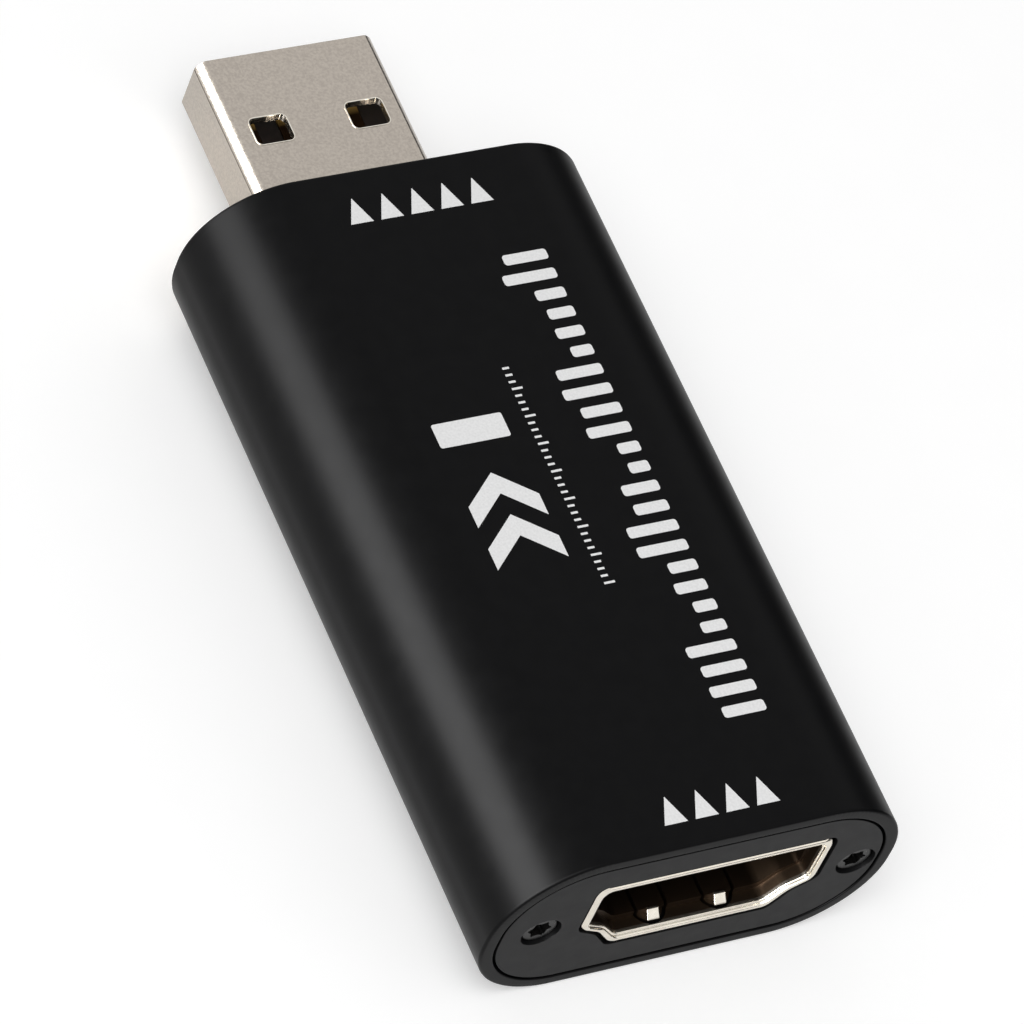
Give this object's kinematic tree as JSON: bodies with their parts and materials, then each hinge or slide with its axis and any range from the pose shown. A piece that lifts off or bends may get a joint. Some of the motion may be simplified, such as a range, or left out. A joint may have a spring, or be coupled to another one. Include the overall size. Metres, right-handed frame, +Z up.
{
  "type": "video capture stick",
  "caption": "Stick-shaped video capture box: a rounded aluminium sleeve with screwed end plates, a video socket at one end and a flat data plug at the other.",
  "frame": {"origin": "middle of the bounding box on the table plane, under the lying stick", "axes": "+Y out of the data plug, the video socket at -Y; +Z up out of the printed face; +X to the right when looking along +Y"},
  "size_m": [0.0266, 0.0626, 0.0132],
  "materials": {
    "sleeve": "black anodised, satin, finely blasted",
    "end_plates": "black anodised, matt",
    "screws": "black oxide, semi-gloss",
    "board": "black solder mask over glass-fibre laminate",
    "chip_moulding": "matt black moulding compound",
    "solder": "bright tin",
    "crystal_can": "satin nickel",
    "capacitor_body": "unglazed tan ceramic",
    "resistor_body": "black glaze on ceramic",
    "bead_body": "dark grey ferrite",
    "socket_shell": "bright nickel plate",
    "plug_shell": "satin nickel plate with a fine grain",
    "insulator": "matt black glass-filled plastic",
    "contacts": "gold flash"
  },
  "bodies": {
    "root": {"sleeve": "sleeve", "input_plate": "end_plates", "output_plate": "end_plates", "input_screws": "screws", "output_screws": "screws", "circuit_board": "board", "capture_chip": "chip_moulding", "chip_leads": "solder", "memory_chip": "chip_moulding", "voltage_regulator": "chip_moulding", "crystal": "crystal_can", "chip_capacitors": "capacitor_body", "bulk_capacitors": "capacitor_body", "chip_resistors": "resistor_body", "ferrite_beads": "bead_body", "surge_arrays": "chip_moulding", "socket_shell": "socket_shell", "socket_insulator": "insulator", "socket_upper_contacts": "contacts", "socket_lower_contacts": "contacts", "plug_shell": "plug_shell", "plug_insulator": "insulator", "plug_contacts": "contacts"}
  },
  "joints": []
}
